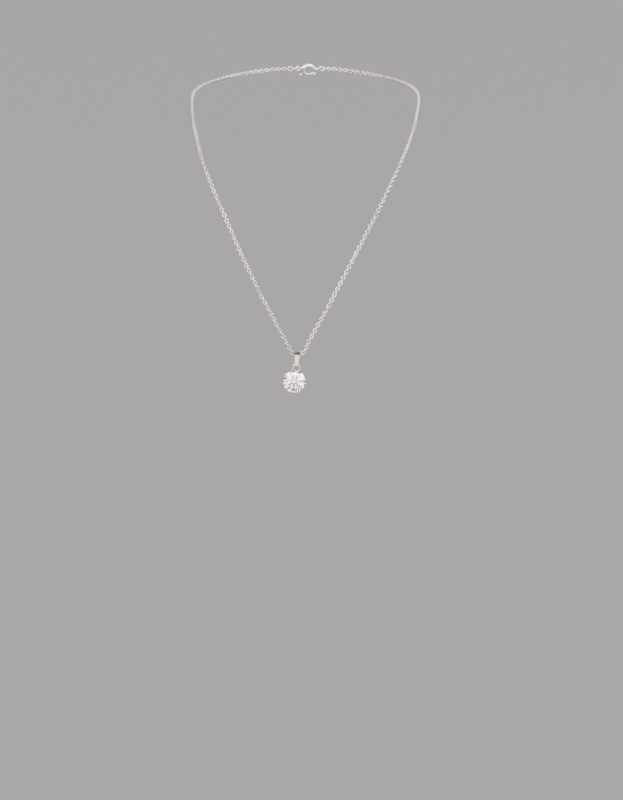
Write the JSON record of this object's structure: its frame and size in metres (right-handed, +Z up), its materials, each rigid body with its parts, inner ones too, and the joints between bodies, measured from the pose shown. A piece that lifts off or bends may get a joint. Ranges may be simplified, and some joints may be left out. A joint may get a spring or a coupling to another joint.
{
  "type": "pendant necklace",
  "caption": "Worn cable-chain necklace shut by a lobster clasp at the nape, with a round faceted stone in a claw setting hanging from a tapered bail.",
  "frame": {"origin": "the middle of the neck opening, level with the two shoulder links that the front of the chain swings on", "axes": "+Z up as worn, -Y the way the wearer looks and the stone faces, +X to the viewer's right when the viewer faces the wearer"},
  "size_m": [0.1022, 0.1156, 0.1317],
  "materials": {
    "rhodium_plate": "bright rhodium plate over polished brass, as silver jewellery",
    "spring_steel": "plain drawn spring steel wire",
    "cubic_zirconia": "colourless cubic zirconia, cut and polished as a round brilliant"
  },
  "bodies": {
    "neck_chain": {"neck_run_left_1": "rhodium_plate", "neck_run_left_2": "rhodium_plate", "neck_run_left_3": "rhodium_plate", "neck_run_left_4": "rhodium_plate", "neck_run_right_1": "rhodium_plate", "neck_run_right_2": "rhodium_plate", "neck_run_right_3": "rhodium_plate", "neck_run_right_4": "rhodium_plate", "neck_link_left": "rhodium_plate", "neck_link_right": "rhodium_plate", "nape_link_left": "rhodium_plate", "nape_link_right": "rhodium_plate", "end_link_left": "rhodium_plate", "end_link_right": "rhodium_plate"},
    "front_chain": {"front_link_left": "rhodium_plate", "front_link_right": "rhodium_plate", "front_run_left_1": "rhodium_plate", "front_run_left_2": "rhodium_plate", "front_run_left_3": "rhodium_plate", "front_run_left_4": "rhodium_plate", "front_run_left_5": "rhodium_plate", "front_run_right_1": "rhodium_plate", "front_run_right_2": "rhodium_plate", "front_run_right_3": "rhodium_plate", "front_run_right_4": "rhodium_plate", "front_run_right_5": "rhodium_plate", "bail_link_1": "rhodium_plate", "bail_link_2": "rhodium_plate", "bail_link_3": "rhodium_plate", "bail_link_4": "rhodium_plate", "bail_link_5": "rhodium_plate"},
    "bail": {"bail": "rhodium_plate"},
    "jump_ring": {"jump_ring": "rhodium_plate"},
    "head": {"setting": "rhodium_plate", "stone": "cubic_zirconia"},
    "clasp": {"clasp_body": "rhodium_plate", "clasp_pin": "spring_steel", "clasp_spring": "spring_steel"},
    "lever": {"clasp_lever": "rhodium_plate"},
    "clasp_ring": {"clasp_ring": "rhodium_plate"},
    "catch_ring": {"catch_ring": "rhodium_plate"}
  },
  "joints": [
    {"name": "front_chain_lift", "type": "hinge", "parent": "neck_chain", "child": "front_chain", "pos_m": [-0.0502, 0, 0], "axis": [-1, 0, 0], "range_deg": [0, 60]},
    {"name": "bail_swing", "type": "hinge", "parent": "front_chain", "child": "bail", "pos_m": [-0.0036, -0.068, -0.1032], "axis": [-1, 0, 0], "range_deg": [-60, 80]},
    {"name": "ring_swing", "type": "hinge", "parent": "bail", "child": "jump_ring", "pos_m": [-0.00397, -0.068, -0.10847], "axis": [0, 1, 0], "range_deg": [-20, 20]},
    {"name": "head_swing", "type": "hinge", "parent": "jump_ring", "child": "head", "pos_m": [-0.00419, -0.068, -0.11005], "axis": [-1, 0, 0], "range_deg": [-45, 40]},
    {"name": "clasp_roll", "type": "hinge", "parent": "neck_chain", "child": "clasp", "pos_m": [0, 0.0427, 0.0103], "axis": [1, 0, 0], "range_deg": [-20, 20]},
    {"name": "lever_open", "type": "hinge", "parent": "clasp", "child": "lever", "pos_m": [-0.00159, 0.0427, 0.00943], "axis": [0, -1, 0], "range_deg": [0, 15], "stiffness_Nm_per_rad": 0.0001, "springref_deg": -20.05, "deforming": ["clasp_spring"]},
    {"name": "clasp_ring_roll", "type": "hinge", "parent": "neck_chain", "child": "clasp_ring", "pos_m": [0, 0.0427, 0.0103], "axis": [1, 0, 0], "range_deg": [-15, 15]},
    {"name": "catch_ring_roll", "type": "hinge", "parent": "neck_chain", "child": "catch_ring", "pos_m": [0, 0.0427, 0.0103], "axis": [1, 0, 0], "range_deg": [-15, 15]}
  ]
}
